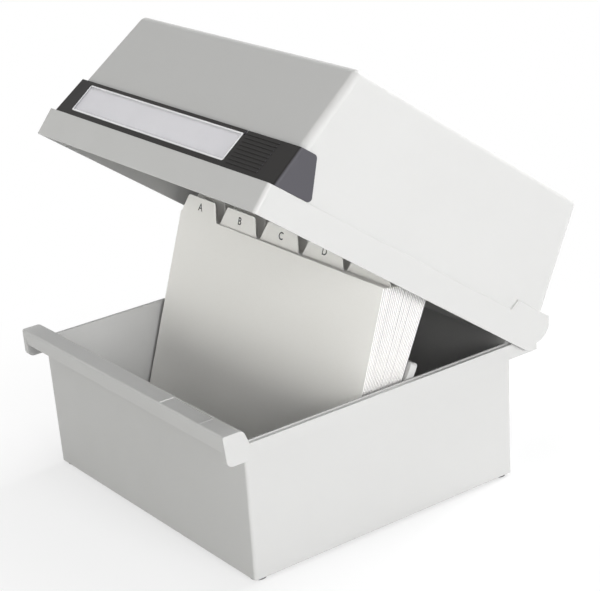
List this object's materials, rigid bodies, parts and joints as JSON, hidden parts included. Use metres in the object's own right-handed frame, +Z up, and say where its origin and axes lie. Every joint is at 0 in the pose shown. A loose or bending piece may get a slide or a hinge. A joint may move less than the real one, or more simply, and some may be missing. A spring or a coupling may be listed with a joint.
{
  "type": "index card box",
  "caption": "Desktop index card box with a drafted trough, a telescoping hinged lid with a label holder, tabbed dividers and a sliding support plate.",
  "frame": {"origin": "under the middle of the half open box, on the surface that its feet stand on", "axes": "+X across the box, to the right seen from the label side; -Y towards the label side, +Y towards the hinge; +Z up"},
  "size_m": [0.2334, 0.2664, 0.2749],
  "materials": {
    "body_shell": "light grey, fine satin",
    "holder_black": "black, satin, ribbed grip field",
    "clear_window": "clear plastic, glossy",
    "label_paper": "smooth paper, blank",
    "support_plate": "light grey, satin",
    "divider_card": "smooth pale card",
    "index_cards": "white card, cut edges",
    "rubber_foot": "matt black",
    "pin_steel": "turned steel"
  },
  "bodies": {
    "trough": {"trough": "body_shell", "foot_front_left": "rubber_foot", "foot_front_right": "rubber_foot", "foot_back_left": "rubber_foot", "foot_back_right": "rubber_foot", "hinge_pin_left": "pin_steel", "hinge_pin_right": "pin_steel"},
    "lid": {"lid": "body_shell", "label_holder": "holder_black", "label_window": "clear_window"},
    "label": {"label_card": "label_paper"},
    "support": {"support_plate": "support_plate"},
    "row_a_to_e": {"divider_a": "divider_card", "divider_b": "divider_card", "divider_c": "divider_card", "divider_d": "divider_card", "divider_e": "divider_card", "cards_a_to_e": "index_cards"},
    "row_f_to_j": {"divider_f": "divider_card", "divider_g": "divider_card", "divider_h": "divider_card", "divider_i": "divider_card", "divider_j": "divider_card", "cards_f_to_j": "index_cards"},
    "row_k_to_o": {"divider_k": "divider_card", "divider_l": "divider_card", "divider_m": "divider_card", "divider_n": "divider_card", "divider_o": "divider_card", "cards_k_to_o": "index_cards"},
    "row_p_to_t": {"divider_p": "divider_card", "divider_q": "divider_card", "divider_r": "divider_card", "divider_s": "divider_card", "divider_t": "divider_card", "cards_p_to_t": "index_cards"},
    "row_u_to_y": {"divider_u": "divider_card", "divider_v": "divider_card", "divider_w": "divider_card", "divider_x": "divider_card", "divider_y": "divider_card", "cards_u_to_y": "index_cards"}
  },
  "joints": [
    {"name": "lid_hinge", "type": "hinge", "parent": "trough", "child": "lid", "pos_m": [0, 0.08975, 0.0968], "axis": [-1, 0, 0], "range_deg": [-35.8, 59.2]},
    {"name": "label_slide", "type": "slide", "parent": "lid", "child": "label", "axis": [0, 0.7957, 0.6056], "range_m": [0, 0.022]},
    {"name": "support_slide", "type": "slide", "parent": "trough", "child": "support", "axis": [0, 1, 0], "range_m": [0, 0.055]},
    {"name": "row_a_to_e_tilt", "type": "hinge", "parent": "trough", "child": "row_a_to_e", "pos_m": [0, -0.06035, 0.006], "axis": [1, 0, 0], "range_deg": [0, 33.5]},
    {"name": "row_f_to_j_tilt", "type": "hinge", "parent": "trough", "child": "row_f_to_j", "pos_m": [0, -0.05675, 0.006], "axis": [1, 0, 0], "range_deg": [0, 26.85]},
    {"name": "row_k_to_o_tilt", "type": "hinge", "parent": "trough", "child": "row_k_to_o", "pos_m": [0, -0.05315, 0.006], "axis": [1, 0, 0], "range_deg": [0, 20.15]},
    {"name": "row_p_to_t_tilt", "type": "hinge", "parent": "trough", "child": "row_p_to_t", "pos_m": [0, -0.04955, 0.006], "axis": [1, 0, 0], "range_deg": [0, 13.45]},
    {"name": "row_u_to_y_tilt", "type": "hinge", "parent": "trough", "child": "row_u_to_y", "pos_m": [0, -0.04595, 0.006], "axis": [1, 0, 0], "range_deg": [0, 6.75]}
  ],
  "couplings": [
    {"joint": "row_f_to_j_tilt", "follows": "row_a_to_e_tilt", "ratio": 0.8},
    {"joint": "row_k_to_o_tilt", "follows": "row_a_to_e_tilt", "ratio": 0.6},
    {"joint": "row_p_to_t_tilt", "follows": "row_a_to_e_tilt", "ratio": 0.4},
    {"joint": "row_u_to_y_tilt", "follows": "row_a_to_e_tilt", "ratio": 0.2}
  ]
}
